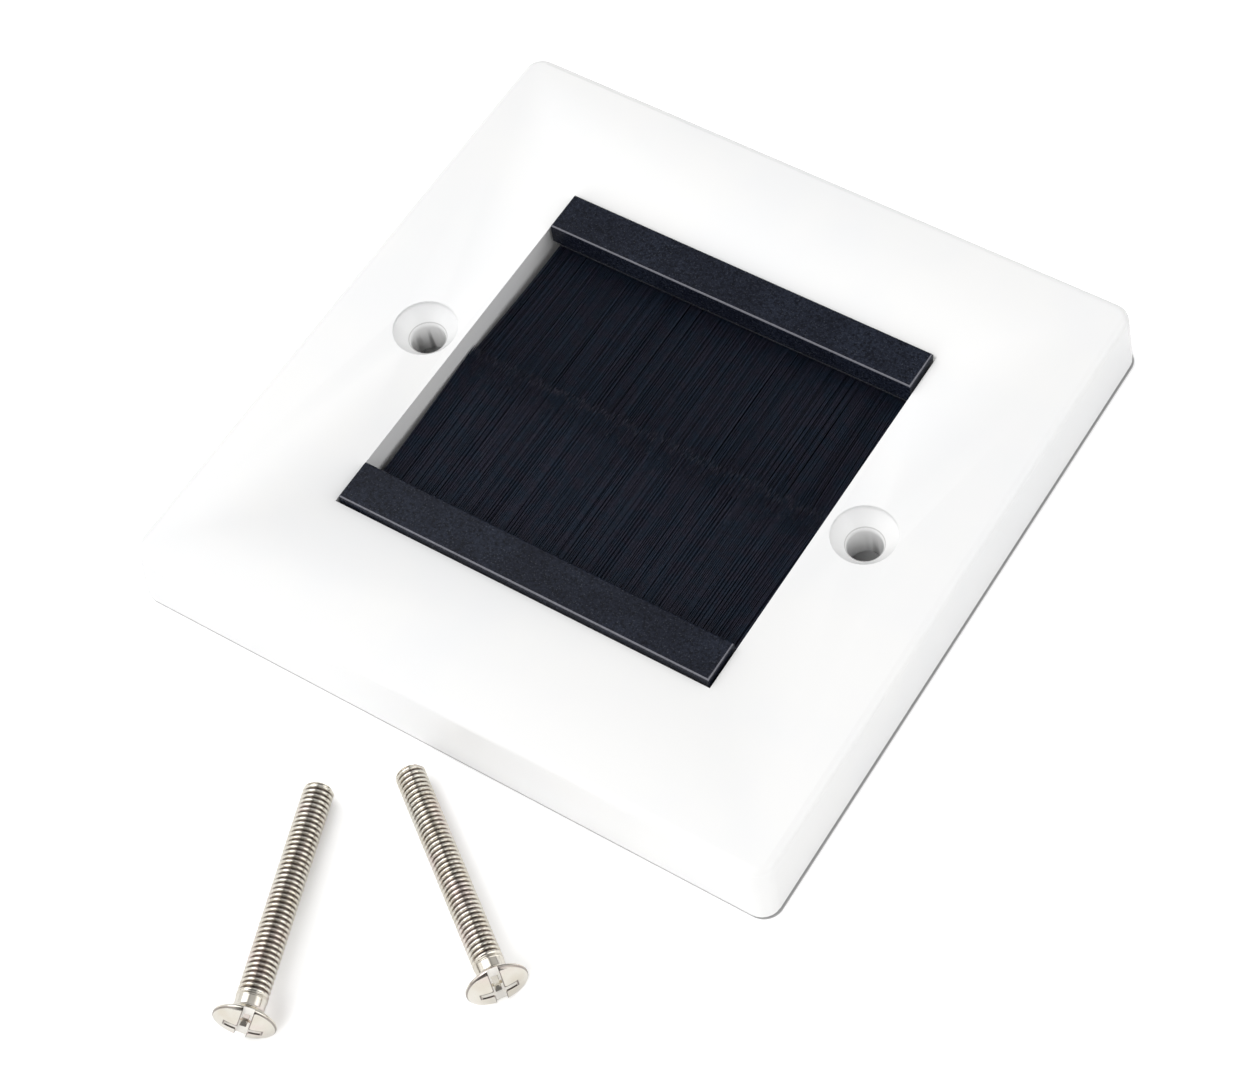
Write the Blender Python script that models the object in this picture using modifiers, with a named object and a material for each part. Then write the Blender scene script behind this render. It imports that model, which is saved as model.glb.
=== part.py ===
"""Brush wall plate: a square faceplate for one wall box, two black brush bars whose
bristles close its opening, and its two fixing screws lying beside it.

Metres, +Z up. The plate lies on its back rim, the side that meets the wall, with its face
up and its two screw holes on a line along X. Written for Blender 4.5.
"""

import math
import random

import bmesh
import bpy
from mathutils import Matrix, Vector

# Clearance that is left wherever one piece seats in or on another
SEAT_GAP = 0.0003
# How far a cutter reaches past the faces that it opens
CUT_MARGIN = 0.0010
# How far a shape that is joined to another runs into it
JOIN_DEPTH = 0.0004

# Faceplate: a moulded shell, open at the back
PLATE_SIDE = 0.0860
PLATE_HEIGHT = 0.0093
PLATE_LEAN = 0.00066
PLATE_CORNER_RADIUS = 0.0023
FACE_EDGE_RADIUS = 0.0009
BACK_EDGE_RADIUS = 0.00055
RIM_WALL = 0.0018
FACE_THICKNESS = 0.0024
CAVITY_CORNER_RADIUS = 0.0012

# Opening in the faceplate, between the screw holes, with a skirt round it and a ledge
# under each end of each bar
HOLE_PITCH = 0.0603
HOLE_TO_APERTURE = 0.00485
SKIRT_WALL = 0.0015
SKIRT_FOOT = 0.0030
LEDGE_TOP = 0.0023
LEDGE_THICKNESS = 0.0014
LEDGE_REACH = 0.0020
LEDGE_SETBACK = 0.0002

# Screw holes, each with a seat for a raised countersunk head, a boss and a rib
HOLE_RADIUS = 0.0021
SEAT_RADIUS = 0.00395
SEAT_BORE_DEPTH = 0.00085
SEAT_CONE_RADIUS = 0.00225
SEAT_CONE_DEPTH = 0.0012
SEAT_NECK_DEPTH = 0.0006
BOSS_WALL = 0.0012
BOSS_FOOT = 0.0025
RIB_THICKNESS = 0.0012
RIB_FOOT = 0.0025

# Brush bar: a black moulding that grips one brush strip and snaps into the opening
BAR_WIDTH = 0.0055
BAR_PROUD = 0.0009
BAR_EDGE_RADIUS = 0.0003
LUG_WIDTH = 0.0060
LUG_SPACING = 0.0280
LUG_THICKNESS = 0.0015
LUG_CATCH = 0.0010
LUG_CATCH_HEIGHT = 0.0005
LUG_DROP = 0.0017

# Brush strip: bristles folded round a core wire inside a folded steel channel
STRIP_HEIGHT = 0.0052
CHANNEL_HEIGHT = 0.0034
CHANNEL_DEPTH = 0.0032
CHANNEL_SHEET = 0.0003
CHANNEL_BEND_RADIUS = 0.0005
CHANNEL_SETBACK = 0.0002
CHANNEL_END_GAP = 0.0004
WIRE_RADIUS = 0.0004
ROOT_DEPTH = 0.0022
ROOT_END_GAP = 0.0002

# Bristles: two staggered rows of tufts, whose tips meet a little behind the middle
MEETING_LINE = 0.0012
TUFTS_PER_ROW = 48
TUFT_WIDTH_SHARE = 0.84
TUFT_ROW_GAP = 0.00018
TUFT_TAPER = 0.86
TIP_GAP = 0.0003
TIP_SCATTER = 0.0006
TIP_DRIFT = 0.00004
BRISTLE_SEEDS = {"back": 11, "front": 23}

# Fixing screw: raised countersunk head with a slot and a cross, and a chamfered tip
SCREW_HEAD_RADIUS = 0.0035
SCREW_LAND = 0.00035
SCREW_DOME = 0.0008
SCREW_CONE_LENGTH = 0.0011
SCREW_SHANK_RADIUS = 0.0017
SCREW_SHANK_LENGTH = 0.00145
SCREW_THREAD_RADIUS = 0.00175
SCREW_REACH = 0.0291
SCREW_TIP_CHAMFER = 0.0004
SCREW_SLOT_WIDTH = 0.0012
SCREW_SLOT_DEPTH = 0.0011
SCREW_CROSS_WIDTH = 0.0009
SCREW_CROSS_LENGTH = 0.0042
SCREW_CROSS_DEPTH = 0.0017

# Where each screw lies: how far its head is to the right of the plate's middle and in
# front of the plate's edge, the way from tip to head, and how far its slot is turned from
# upright, both in degrees
LYING_SCREWS = {
    "left": {"across": 0.00138, "ahead": 0.03818, "heading": -69.7, "turn": -20.0},
    "right": {"across": 0.02245, "ahead": 0.02134, "heading": -35.7, "turn": 0.0},
}

# Facets round the curved pieces
CORNER_SEGMENTS = 6
EDGE_SEGMENTS = 4
HOLE_STEPS = 32
SCREW_STEPS = 24
DOME_STEPS = 5
BEND_STEPS = 3
WIRE_SIDES = 12
TUFT_SIDES = 6

SHARP_ANGLE = math.radians(35)

# Sizes that follow from the ones above
APERTURE_SIDE = HOLE_PITCH - 2 * HOLE_TO_APERTURE
APERTURE_HALF = APERTURE_SIDE / 2
SKIRT_HALF = APERTURE_HALF + SKIRT_WALL
CAVITY_ROOF = PLATE_HEIGHT - FACE_THICKNESS
BOSS_RADIUS = SEAT_RADIUS + BOSS_WALL
BAR_LENGTH = APERTURE_SIDE - 2 * SEAT_GAP
BAR_OUTER = APERTURE_HALF - SEAT_GAP
BAR_INNER = BAR_OUTER - BAR_WIDTH
BAR_FOOT = LEDGE_TOP + SEAT_GAP
BAR_TOP = PLATE_HEIGHT + BAR_PROUD
CHANNEL_MOUTH = BAR_INNER + CHANNEL_SETBACK
CHANNEL_BACK = CHANNEL_MOUTH + CHANNEL_DEPTH
CHANNEL_LENGTH = BAR_LENGTH - 2 * CHANNEL_END_GAP
GROOVE_END = CHANNEL_BACK + SEAT_GAP
GROOVE_HEIGHT = CHANNEL_HEIGHT + 2 * SEAT_GAP
ROOT_BACK = CHANNEL_BACK - CHANNEL_SHEET - SEAT_GAP
ROOT_FRONT = ROOT_BACK - ROOT_DEPTH
ROOT_THICKNESS = CHANNEL_HEIGHT - 2 * CHANNEL_SHEET - 2 * SEAT_GAP
ROOT_LENGTH = CHANNEL_LENGTH - 2 * ROOT_END_GAP
WIRE_Y = (ROOT_BACK + ROOT_FRONT) / 2


def clear_scene():
    for obj in list(bpy.data.objects):
        bpy.data.objects.remove(obj, do_unlink=True)


def new_collection(name):
    collection = bpy.data.collections.new(name)
    bpy.context.scene.collection.children.link(collection)
    return collection


def principled(name, colour, roughness, metallic=0.0):
    material = bpy.data.materials.new(name)
    material.use_nodes = True
    shader = material.node_tree.nodes["Principled BSDF"]
    shader.inputs["Base Color"].default_value = (*colour, 1.0)
    shader.inputs["Roughness"].default_value = roughness
    shader.inputs["Metallic"].default_value = metallic
    material.diffuse_color = (*colour, 1.0)
    return material


def object_from_bmesh(name, bm, collection, material=None):
    """A new object that holds the bmesh, with outward normals and smooth round faces."""
    bmesh.ops.recalc_face_normals(bm, faces=bm.faces)
    mesh = bpy.data.meshes.new(name)
    bm.to_mesh(mesh)
    bm.free()
    mesh.shade_smooth()
    mesh.set_sharp_from_angle(angle=SHARP_ANGLE)
    if material:
        mesh.materials.append(material)
    obj = bpy.data.objects.new(name, mesh)
    collection.objects.link(obj)
    return obj


def box(name, low, high, collection, material=None):
    low, high = Vector(low), Vector(high)
    bm = bmesh.new()
    bmesh.ops.create_cube(bm, size=1.0)
    bmesh.ops.scale(bm, vec=high - low, verts=bm.verts)
    obj = object_from_bmesh(name, bm, collection, material)
    obj.location = (low + high) / 2
    return obj


def cylinder(name, radius, depth, sides, collection, material=None):
    bm = bmesh.new()
    bmesh.ops.create_cone(
        bm, cap_ends=True, segments=sides, radius1=radius, radius2=radius, depth=depth
    )
    return object_from_bmesh(name, bm, collection, material)


def section_along_x(name, outline, length, collection, material=None):
    """A (y, z) outline drawn out along X, as a flat curve that is extruded and made a mesh."""
    curve = bpy.data.curves.new(name, "CURVE")
    curve.dimensions = "2D"
    curve.fill_mode = "BOTH"
    curve.extrude = length / 2
    spline = curve.splines.new("POLY")
    spline.points.add(len(outline) - 1)
    for point, (y, z) in zip(spline.points, outline):
        point.co = (y, z, 0.0, 1.0)
    spline.use_cyclic_u = True
    drawn = bpy.data.objects.new(name + "_outline", curve)
    collection.objects.link(drawn)
    graph = bpy.context.evaluated_depsgraph_get()
    mesh = bpy.data.meshes.new_from_object(drawn.evaluated_get(graph))
    bpy.data.objects.remove(drawn, do_unlink=True)

    # The curve's own X, Y and Z become the part's Y, Z and X.
    mesh.transform(Matrix(((0, 0, 1, 0), (1, 0, 0, 0), (0, 1, 0, 0), (0, 0, 0, 1))))
    bm = bmesh.new()
    bm.from_mesh(mesh)
    bpy.data.meshes.remove(mesh)
    bmesh.ops.remove_doubles(bm, verts=bm.verts, dist=1e-6)
    return object_from_bmesh(name, bm, collection, material)


def turned(name, profile, steps, collection, material=None):
    """A (radius, z) profile, given from top to bottom, turned round Z by a Screw modifier."""
    bm = bmesh.new()
    verts = [bm.verts.new((radius, 0.0, z)) for radius, z in profile]
    for upper, lower in zip(verts, verts[1:]):
        bm.edges.new((upper, lower))
    obj = object_from_bmesh(name, bm, collection, material)
    screw = obj.modifiers.new("turn", "SCREW")
    screw.steps = screw.render_steps = steps
    screw.use_merge_vertices = True
    screw.merge_threshold = 1e-6
    screw.use_smooth_shade = True
    return obj


def combine(piece, operation, tool):
    """Joins the tool to the piece or cuts it out, and keeps the tool as a hidden helper."""
    modifier = piece.modifiers.new(tool.name, "BOOLEAN")
    modifier.operation = operation
    modifier.solver = "EXACT"
    modifier.object = tool
    tool.parent = piece
    tool.hide_render = True
    tool.display_type = "WIRE"


def bend(centre, radius, start, end, steps=BEND_STEPS):
    """Points along an arc, with angles in degrees."""
    turns = [math.radians(start + (end - start) * k / steps) for k in range(steps + 1)]
    return [
        (centre[0] + radius * math.cos(t), centre[1] + radius * math.sin(t)) for t in turns
    ]


def drafted_block(name, inset, low, high, corner_radius, edge_radii, collection, material=None):
    """A square block whose sides lean in as the faceplate's do, set in from them by inset.

    edge_radii are those of its low and high edges, and 0 leaves an edge sharp.
    """
    bm = bmesh.new()
    bmesh.ops.create_cube(bm, size=2.0)
    for vert in bm.verts:
        z = high if vert.co.z > 0 else low
        half = PLATE_SIDE / 2 - inset - PLATE_LEAN * z / PLATE_HEIGHT
        vert.co = (math.copysign(half, vert.co.x), math.copysign(half, vert.co.y), z)
    upright = [e for e in bm.edges if abs(e.verts[0].co.z - e.verts[1].co.z) > (high - low) / 2]
    bmesh.ops.bevel(
        bm, geom=upright, offset=corner_radius, segments=CORNER_SEGMENTS, profile=0.5,
        affect="EDGES",
    )
    for z, radius in zip((low, high), edge_radii):
        if radius:
            rim = [e for e in bm.edges if all(abs(v.co.z - z) < 1e-6 for v in e.verts)]
            bmesh.ops.bevel(
                bm, geom=rim, offset=radius, segments=EDGE_SEGMENTS, profile=0.5,
                affect="EDGES",
            )
    return object_from_bmesh(name, bm, collection, material)


def make_faceplate(parts, cutters, material):
    plate = drafted_block(
        "faceplate", 0.0, 0.0, PLATE_HEIGHT, PLATE_CORNER_RADIUS,
        (BACK_EDGE_RADIUS, FACE_EDGE_RADIUS), parts, material,
    )
    cavity = drafted_block(
        "cavity", RIM_WALL, -CUT_MARGIN, CAVITY_ROOF, CAVITY_CORNER_RADIUS, (0.0, 0.0), cutters
    )
    combine(plate, "DIFFERENCE", cavity)

    # The skirt starts as a full block, which the aperture then opens.
    inside_face = CAVITY_ROOF + JOIN_DEPTH
    skirt = box(
        "skirt", (-SKIRT_HALF, -SKIRT_HALF, SKIRT_FOOT), (SKIRT_HALF, SKIRT_HALF, inside_face),
        cutters,
    )
    combine(plate, "UNION", skirt)

    hole_x = HOLE_PITCH / 2
    wall_x = PLATE_SIDE / 2 - RIM_WALL
    for side, sign in (("left", -1), ("right", 1)):
        boss = cylinder("boss_" + side, BOSS_RADIUS, inside_face - BOSS_FOOT, HOLE_STEPS, cutters)
        boss.location = (sign * hole_x, 0.0, (BOSS_FOOT + inside_face) / 2)
        combine(plate, "UNION", boss)
        inner, outer = sign * hole_x, sign * (wall_x + JOIN_DEPTH)
        rib = box(
            "rib_" + side,
            (min(inner, outer), -RIB_THICKNESS / 2, RIB_FOOT),
            (max(inner, outer), RIB_THICKNESS / 2, inside_face),
            cutters,
        )
        combine(plate, "UNION", rib)

    aperture = box(
        "aperture", (-APERTURE_HALF, -APERTURE_HALF, -CUT_MARGIN),
        (APERTURE_HALF, APERTURE_HALF, PLATE_HEIGHT + CUT_MARGIN), cutters,
    )
    combine(plate, "DIFFERENCE", aperture)

    for side, sign in (("left", -1), ("right", 1)):
        seat = turned("screw_seat_" + side, seat_profile(), HOLE_STEPS, cutters)
        seat.location = (sign * hole_x, 0.0, 0.0)
        combine(plate, "DIFFERENCE", seat)

    for end, turn in (("left", math.pi), ("right", 0.0)):
        for bar, sign in (("back", 1), ("front", -1)):
            ledge = make_ledge(f"ledge_{bar}_{end}", cutters)
            ledge.location.y = sign * (BAR_INNER + BAR_OUTER) / 2
            ledge.rotation_euler.z = turn
            combine(plate, "UNION", ledge)
    return plate


def seat_profile():
    cone_top = PLATE_HEIGHT - SEAT_BORE_DEPTH
    cone_foot = cone_top - SEAT_CONE_DEPTH
    neck_foot = cone_foot - SEAT_NECK_DEPTH
    return [
        (0.0, PLATE_HEIGHT + CUT_MARGIN),
        (SEAT_RADIUS, PLATE_HEIGHT + CUT_MARGIN),
        (SEAT_RADIUS, cone_top),
        (SEAT_CONE_RADIUS, cone_foot),
        (HOLE_RADIUS, neck_foot),
        (HOLE_RADIUS, -CUT_MARGIN),
        (0.0, -CUT_MARGIN),
    ]


def make_ledge(name, cutters):
    """An angle that hangs from the skirt's wall at +X and carries one end of a bar."""
    inner = APERTURE_HALF - LEDGE_REACH
    face = APERTURE_HALF + LEDGE_SETBACK
    outer = SKIRT_HALF - LEDGE_SETBACK
    outline = [
        (inner, LEDGE_TOP - LEDGE_THICKNESS),
        (outer, LEDGE_TOP - LEDGE_THICKNESS),
        (outer, SKIRT_FOOT + JOIN_DEPTH),
        (face, SKIRT_FOOT + JOIN_DEPTH),
        (face, LEDGE_TOP),
        (inner, LEDGE_TOP),
    ]
    ledge = section_along_x(name, outline, BAR_WIDTH - 2 * SEAT_GAP, cutters)
    ledge.data.transform(Matrix.Rotation(-math.pi / 2, 4, "Z"))
    return ledge


def make_module(end, root, parts, cutters, materials):
    """One brush bar with its strip: drawn at +Y, and turned half round for the front."""
    module = bpy.data.objects.new("brush_module_" + end, None)
    parts.objects.link(module)
    module.parent = root
    module.rotation_euler.z = 0.0 if end == "back" else math.pi
    bristle_reach = BAR_INNER - (MEETING_LINE if end == "back" else -MEETING_LINE)
    pieces = [
        make_bar("brush_bar_" + end, parts, cutters, materials["bar"]),
        make_channel("strip_channel_" + end, parts, materials["channel"]),
        make_core_wire("core_wire_" + end, parts, materials["wire"]),
        make_bristles(
            "bristles_" + end, bristle_reach, BRISTLE_SEEDS[end], parts, cutters,
            materials["bristles"],
        ),
    ]
    for piece in pieces:
        piece.parent = module
    return pieces


def make_bar(name, parts, cutters, material):
    groove_low = STRIP_HEIGHT - GROOVE_HEIGHT / 2
    groove_high = STRIP_HEIGHT + GROOVE_HEIGHT / 2
    outline = [
        (BAR_INNER, BAR_FOOT),
        (BAR_OUTER, BAR_FOOT),
        (BAR_OUTER, BAR_TOP),
        (BAR_INNER, BAR_TOP),
        (BAR_INNER, groove_high),
        (GROOVE_END, groove_high),
        (GROOVE_END, groove_low),
        (BAR_INNER, groove_low),
    ]
    bar = section_along_x(name, outline, BAR_LENGTH, parts, material)
    soften_top_edges(bar, BAR_TOP, BAR_EDGE_RADIUS)
    for side, sign in (("left", -1), ("right", 1)):
        lug = section_along_x(f"{name}_lug_{side}", lug_outline(), LUG_WIDTH, cutters)
        lug.location.x = sign * LUG_SPACING / 2
        combine(bar, "UNION", lug)
    return bar


def soften_top_edges(piece, top, radius):
    """Rounds the edges that lie wholly in the top face."""
    mesh = piece.data
    weights = mesh.attributes.new("bevel_weight_edge", "FLOAT", "EDGE")
    for edge in mesh.edges:
        ends = [mesh.vertices[i].co.z for i in edge.vertices]
        weights.data[edge.index].value = float(min(ends) > top - 1e-6)
    bevel = piece.modifiers.new("soft_top_edges", "BEVEL")
    bevel.limit_method = "WEIGHT"
    bevel.width = radius
    bevel.segments = 3


def lug_outline():
    """A barbed snap lug that hooks under the foot of the skirt."""
    outer = BAR_OUTER - LEDGE_SETBACK
    catch_top = SKIRT_FOOT - SEAT_GAP
    tip = APERTURE_HALF + LUG_CATCH
    foot = BAR_FOOT - LUG_DROP
    return [
        (outer - LUG_THICKNESS, BAR_FOOT + JOIN_DEPTH),
        (outer - LUG_THICKNESS, foot),
        (outer, foot),
        (tip, catch_top - LUG_CATCH_HEIGHT),
        (tip, catch_top),
        (outer, catch_top),
        (outer, BAR_FOOT + JOIN_DEPTH),
    ]


def make_channel(name, parts, material):
    """A strip of sheet folded to a U that opens toward the bristles."""
    middle = CHANNEL_SHEET / 2
    top = CHANNEL_HEIGHT / 2 - middle
    back = CHANNEL_BACK - middle
    radius = CHANNEL_BEND_RADIUS
    path = [(CHANNEL_MOUTH, top)]
    path += bend((back - radius, top - radius), radius, 90, 0)
    path += bend((back - radius, radius - top), radius, 0, -90)
    path += [(CHANNEL_MOUTH, -top)]

    bm = bmesh.new()
    verts = [bm.verts.new((-CHANNEL_LENGTH / 2, y, z)) for y, z in path]
    edges = [bm.edges.new(pair) for pair in zip(verts, verts[1:])]
    drawn = bmesh.ops.extrude_edge_only(bm, edges=edges)["geom"]
    moved = [item for item in drawn if isinstance(item, bmesh.types.BMVert)]
    bmesh.ops.translate(bm, vec=(CHANNEL_LENGTH, 0.0, 0.0), verts=moved)
    channel = object_from_bmesh(name, bm, parts, material)
    channel.location.z = STRIP_HEIGHT
    sheet = channel.modifiers.new("sheet", "SOLIDIFY")
    sheet.thickness = CHANNEL_SHEET
    sheet.offset = 0.0
    sheet.use_even_offset = True
    return channel


def make_core_wire(name, parts, material):
    wire = cylinder(name, WIRE_RADIUS, CHANNEL_LENGTH, WIRE_SIDES, parts, material)
    wire.data.transform(Matrix.Rotation(math.pi / 2, 4, "Y"))
    wire.location = (0.0, WIRE_Y, STRIP_HEIGHT)
    return wire


def make_bristles(name, reach, seed, parts, cutters, material):
    """The folded root of the strip with its tufts, and the way through it for the wire."""
    half_length, half_thickness = ROOT_LENGTH / 2, ROOT_THICKNESS / 2
    bristles = box(
        name,
        (-half_length, ROOT_FRONT, STRIP_HEIGHT - half_thickness),
        (half_length, ROOT_BACK, STRIP_HEIGHT + half_thickness),
        parts,
        material,
    )
    tufts = make_tufts(name + "_tufts", reach, seed, cutters)
    tufts.location = -bristles.location
    combine(bristles, "UNION", tufts)

    wire_way = cylinder(
        name + "_wire_way", WIRE_RADIUS + SEAT_GAP, ROOT_LENGTH + 2 * CUT_MARGIN, WIRE_SIDES,
        cutters,
    )
    wire_way.data.transform(Matrix.Rotation(math.pi / 2, 4, "Y"))
    wire_way.location = Vector((0.0, WIRE_Y, STRIP_HEIGHT)) - bristles.location
    combine(bristles, "DIFFERENCE", wire_way)
    return bristles


def make_tufts(name, reach, seed, cutters):
    """Two staggered rows of tapered tufts, fanned so that the tips fill the opening."""
    rng = random.Random(seed)
    pitch = ROOT_LENGTH / (TUFTS_PER_ROW + 0.5)
    width = pitch * TUFT_WIDTH_SHARE
    height = ROOT_THICKNESS / 2 - TUFT_ROW_GAP
    root_y = ROOT_FRONT + JOIN_DEPTH * 0.75
    tip_y = BAR_INNER - reach + TIP_GAP / 2
    fan = (BAR_LENGTH - width) / (ROOT_LENGTH - width)
    bm = bmesh.new()
    for row, stagger in ((1, 0.5), (-1, 1.0)):
        z = STRIP_HEIGHT + row * ROOT_THICKNESS / 4
        for index in range(TUFTS_PER_ROW):
            x = (index + stagger) * pitch - ROOT_LENGTH / 2
            foot = Vector((x, root_y, z))
            tip = Vector((
                x * fan + rng.uniform(-TIP_DRIFT, TIP_DRIFT),
                tip_y + rng.uniform(0.0, TIP_SCATTER),
                z + rng.uniform(-TIP_DRIFT, TIP_DRIFT),
            ))
            add_tuft(bm, foot, tip, width, height)
    return object_from_bmesh(name, bm, cutters)


def add_tuft(bm, foot, tip, width, height):
    """A cone with an oval section from foot to tip."""
    way = tip - foot
    lean = Vector((0.0, -1.0, 0.0)).rotation_difference(way).to_matrix().to_4x4()
    place = (
        Matrix.Translation((foot + tip) / 2)
        @ lean
        @ Matrix.Rotation(math.pi / 2, 4, "X")
        @ Matrix.Diagonal((width, height, 1.0, 1.0))
    )
    bmesh.ops.create_cone(
        bm, cap_ends=True, segments=TUFT_SIDES, radius1=0.5, radius2=0.5 * TUFT_TAPER,
        depth=way.length, matrix=place,
    )


def screw_profile():
    """The screw's outline from the top of its dome to its tip, with z = 0 at the rim."""
    dome_radius = (SCREW_HEAD_RADIUS**2 + SCREW_DOME**2) / (2 * SCREW_DOME)
    rim_angle = math.asin(SCREW_HEAD_RADIUS / dome_radius)
    dome = []
    for step in range(DOME_STEPS + 1):
        angle = rim_angle * step / DOME_STEPS
        drop = dome_radius * (1 - math.cos(angle))
        dome.append((dome_radius * math.sin(angle), SCREW_DOME - drop))
    cone_foot = -SCREW_LAND - SCREW_CONE_LENGTH
    shank_foot = cone_foot - SCREW_SHANK_LENGTH
    return dome + [
        (SCREW_HEAD_RADIUS, -SCREW_LAND),
        (SCREW_SHANK_RADIUS, cone_foot),
        (SCREW_SHANK_RADIUS, shank_foot),
        (SCREW_THREAD_RADIUS, shank_foot - (SCREW_THREAD_RADIUS - SCREW_SHANK_RADIUS)),
        (SCREW_THREAD_RADIUS, -SCREW_REACH + SCREW_TIP_CHAMFER),
        (SCREW_THREAD_RADIUS - SCREW_TIP_CHAMFER, -SCREW_REACH),
        (0.0, -SCREW_REACH),
    ]


def make_screw(side, parts, cutters, material):
    """A screw that lies on its head's rim and its tip."""
    screw = turned("fixing_screw_" + side, screw_profile(), SCREW_STEPS, parts, material)
    recesses = (
        ("slot", 2 * SCREW_HEAD_RADIUS + 2 * CUT_MARGIN, SCREW_SLOT_WIDTH, SCREW_SLOT_DEPTH),
        ("cross", SCREW_CROSS_LENGTH, SCREW_CROSS_WIDTH, SCREW_CROSS_DEPTH),
        ("cross_arm", SCREW_CROSS_WIDTH, SCREW_CROSS_LENGTH, SCREW_CROSS_DEPTH),
    )
    for name, length, width, depth in recesses:
        cutter = box(
            f"{name}_{side}",
            (-length / 2, -width / 2, SCREW_DOME - depth),
            (length / 2, width / 2, SCREW_DOME + CUT_MARGIN),
            cutters,
        )
        combine(screw, "DIFFERENCE", cutter)

    lie = LYING_SCREWS[side]
    run = SCREW_REACH - SCREW_TIP_CHAMFER - SCREW_LAND
    tilt = math.atan((SCREW_HEAD_RADIUS - SCREW_THREAD_RADIUS) / run)
    rest_height = SCREW_HEAD_RADIUS * math.cos(tilt) + SCREW_LAND * math.sin(tilt)
    screw.location = (lie["across"], -PLATE_SIDE / 2 - lie["ahead"], rest_height)
    screw.rotation_euler = (
        Matrix.Rotation(math.radians(lie["heading"]), 3, "Z")
        @ Matrix.Rotation(math.pi / 2 - tilt, 3, "Y")
        @ Matrix.Rotation(math.radians(lie["turn"]), 3, "Z")
    ).to_euler()
    return screw


def centre_on_footprint(root, pieces):
    """Moves the whole so that its box is centred on Z and stands on z = 0."""
    bpy.context.view_layer.update()
    graph = bpy.context.evaluated_depsgraph_get()
    points = []
    for piece in pieces:
        evaluated = piece.evaluated_get(graph)
        mesh = evaluated.to_mesh()
        points += [evaluated.matrix_world @ vert.co for vert in mesh.vertices]
        evaluated.to_mesh_clear()
    low = [min(p[axis] for p in points) for axis in range(3)]
    high = [max(p[axis] for p in points) for axis in range(3)]
    root.location = (-(low[0] + high[0]) / 2, -(low[1] + high[1]) / 2, -low[2])


def main():
    clear_scene()
    parts = new_collection("brush_wall_plate")
    cutters = new_collection("cutters")
    cutters.hide_render = True
    root = bpy.data.objects.new("brush_wall_plate", None)
    parts.objects.link(root)

    white = principled("gloss_white_plastic", (0.86, 0.86, 0.85), 0.18)
    nickel = principled("nickel_plate", (0.74, 0.70, 0.62), 0.22, metallic=1.0)
    strip_materials = {
        "bar": principled("black_plastic", (0.022, 0.023, 0.030), 0.5),
        "channel": principled("zinc_plated_steel", (0.55, 0.56, 0.58), 0.35, metallic=1.0),
        "wire": principled("drawn_steel_wire", (0.42, 0.42, 0.44), 0.3, metallic=1.0),
        "bristles": principled("black_nylon", (0.014, 0.015, 0.022), 0.42),
    }

    plate = make_faceplate(parts, cutters, white)
    screws = [make_screw(side, parts, cutters, nickel) for side in LYING_SCREWS]
    for piece in [plate, *screws]:
        piece.parent = root
    pieces = [plate, *screws]
    for end in ("back", "front"):
        pieces += make_module(end, root, parts, cutters, strip_materials)
    centre_on_footprint(root, pieces)


main()
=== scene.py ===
import math

import bmesh
import bpy
from mathutils import Matrix, Vector


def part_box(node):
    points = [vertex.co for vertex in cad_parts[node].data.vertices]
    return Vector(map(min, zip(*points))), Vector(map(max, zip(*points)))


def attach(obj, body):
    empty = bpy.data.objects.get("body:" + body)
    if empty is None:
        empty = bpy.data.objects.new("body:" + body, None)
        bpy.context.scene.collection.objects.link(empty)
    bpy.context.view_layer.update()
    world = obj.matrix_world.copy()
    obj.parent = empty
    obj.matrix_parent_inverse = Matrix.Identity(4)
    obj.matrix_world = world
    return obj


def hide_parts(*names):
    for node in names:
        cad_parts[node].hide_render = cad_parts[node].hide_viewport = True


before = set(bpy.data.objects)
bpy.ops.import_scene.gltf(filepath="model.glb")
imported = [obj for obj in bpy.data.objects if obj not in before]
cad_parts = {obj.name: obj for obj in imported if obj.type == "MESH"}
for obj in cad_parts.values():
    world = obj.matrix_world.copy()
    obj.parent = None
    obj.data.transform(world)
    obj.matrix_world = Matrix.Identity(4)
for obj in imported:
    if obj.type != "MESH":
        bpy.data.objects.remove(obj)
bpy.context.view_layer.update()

# Every length is in metres. The plate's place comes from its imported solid
PLATE_LOW, PLATE_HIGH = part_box("faceplate")
PLATE_MIDDLE = Vector(((PLATE_LOW.x + PLATE_HIGH.x) / 2, (PLATE_LOW.y + PLATE_HIGH.y) / 2, 0.0))

# Camera: solved from the plate's corners, its opening and its holes in the photograph
PHOTO_WIDTH = 1236
FOCAL_PIXELS = 2930.9
PRINCIPAL_X = 738.0
SENSOR_WIDTH = 36.0
CAMERA_AZIMUTH = math.radians(-37.476)
CAMERA_ELEVATION = math.radians(57.610)
CAMERA_ROLL = math.radians(-7.262)
CAMERA_DISTANCE = 0.34043
CAMERA_TARGET = Vector((0.01480, -0.00335, 0.0))

# Screw seats of the plate: the painted shade line in the step at the foot of each seat's cone
HOLE_PITCH = 0.0603
SEAT_STEP_RADIUS = 0.0023
SEAT_STEP_WIDTH = 0.00009
SEAT_STEP_HEIGHT = 0.0069

# How wide the sharp edges of the bars are eased
BAR_EDGE = 0.00008

# Brush strip, drawn at +Y of the plate's middle and turned half round for the front one
APERTURE_HALF = 0.0253
STRIP_HEIGHT = 0.0052
BAR_INNER = 0.0195
PACK_THICKNESS = 0.0022
PACK_LENGTH = 0.0488
MEETING_LINE = 0.0012
SLOT_INSET = 0.0009
FILAMENTS = 3600
FILAMENT_RADIUS = 0.000092
FILAMENT_POINTS = 6
FILAMENT_SIDES = 3
WALL_CLEARANCE = 0.00012

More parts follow.
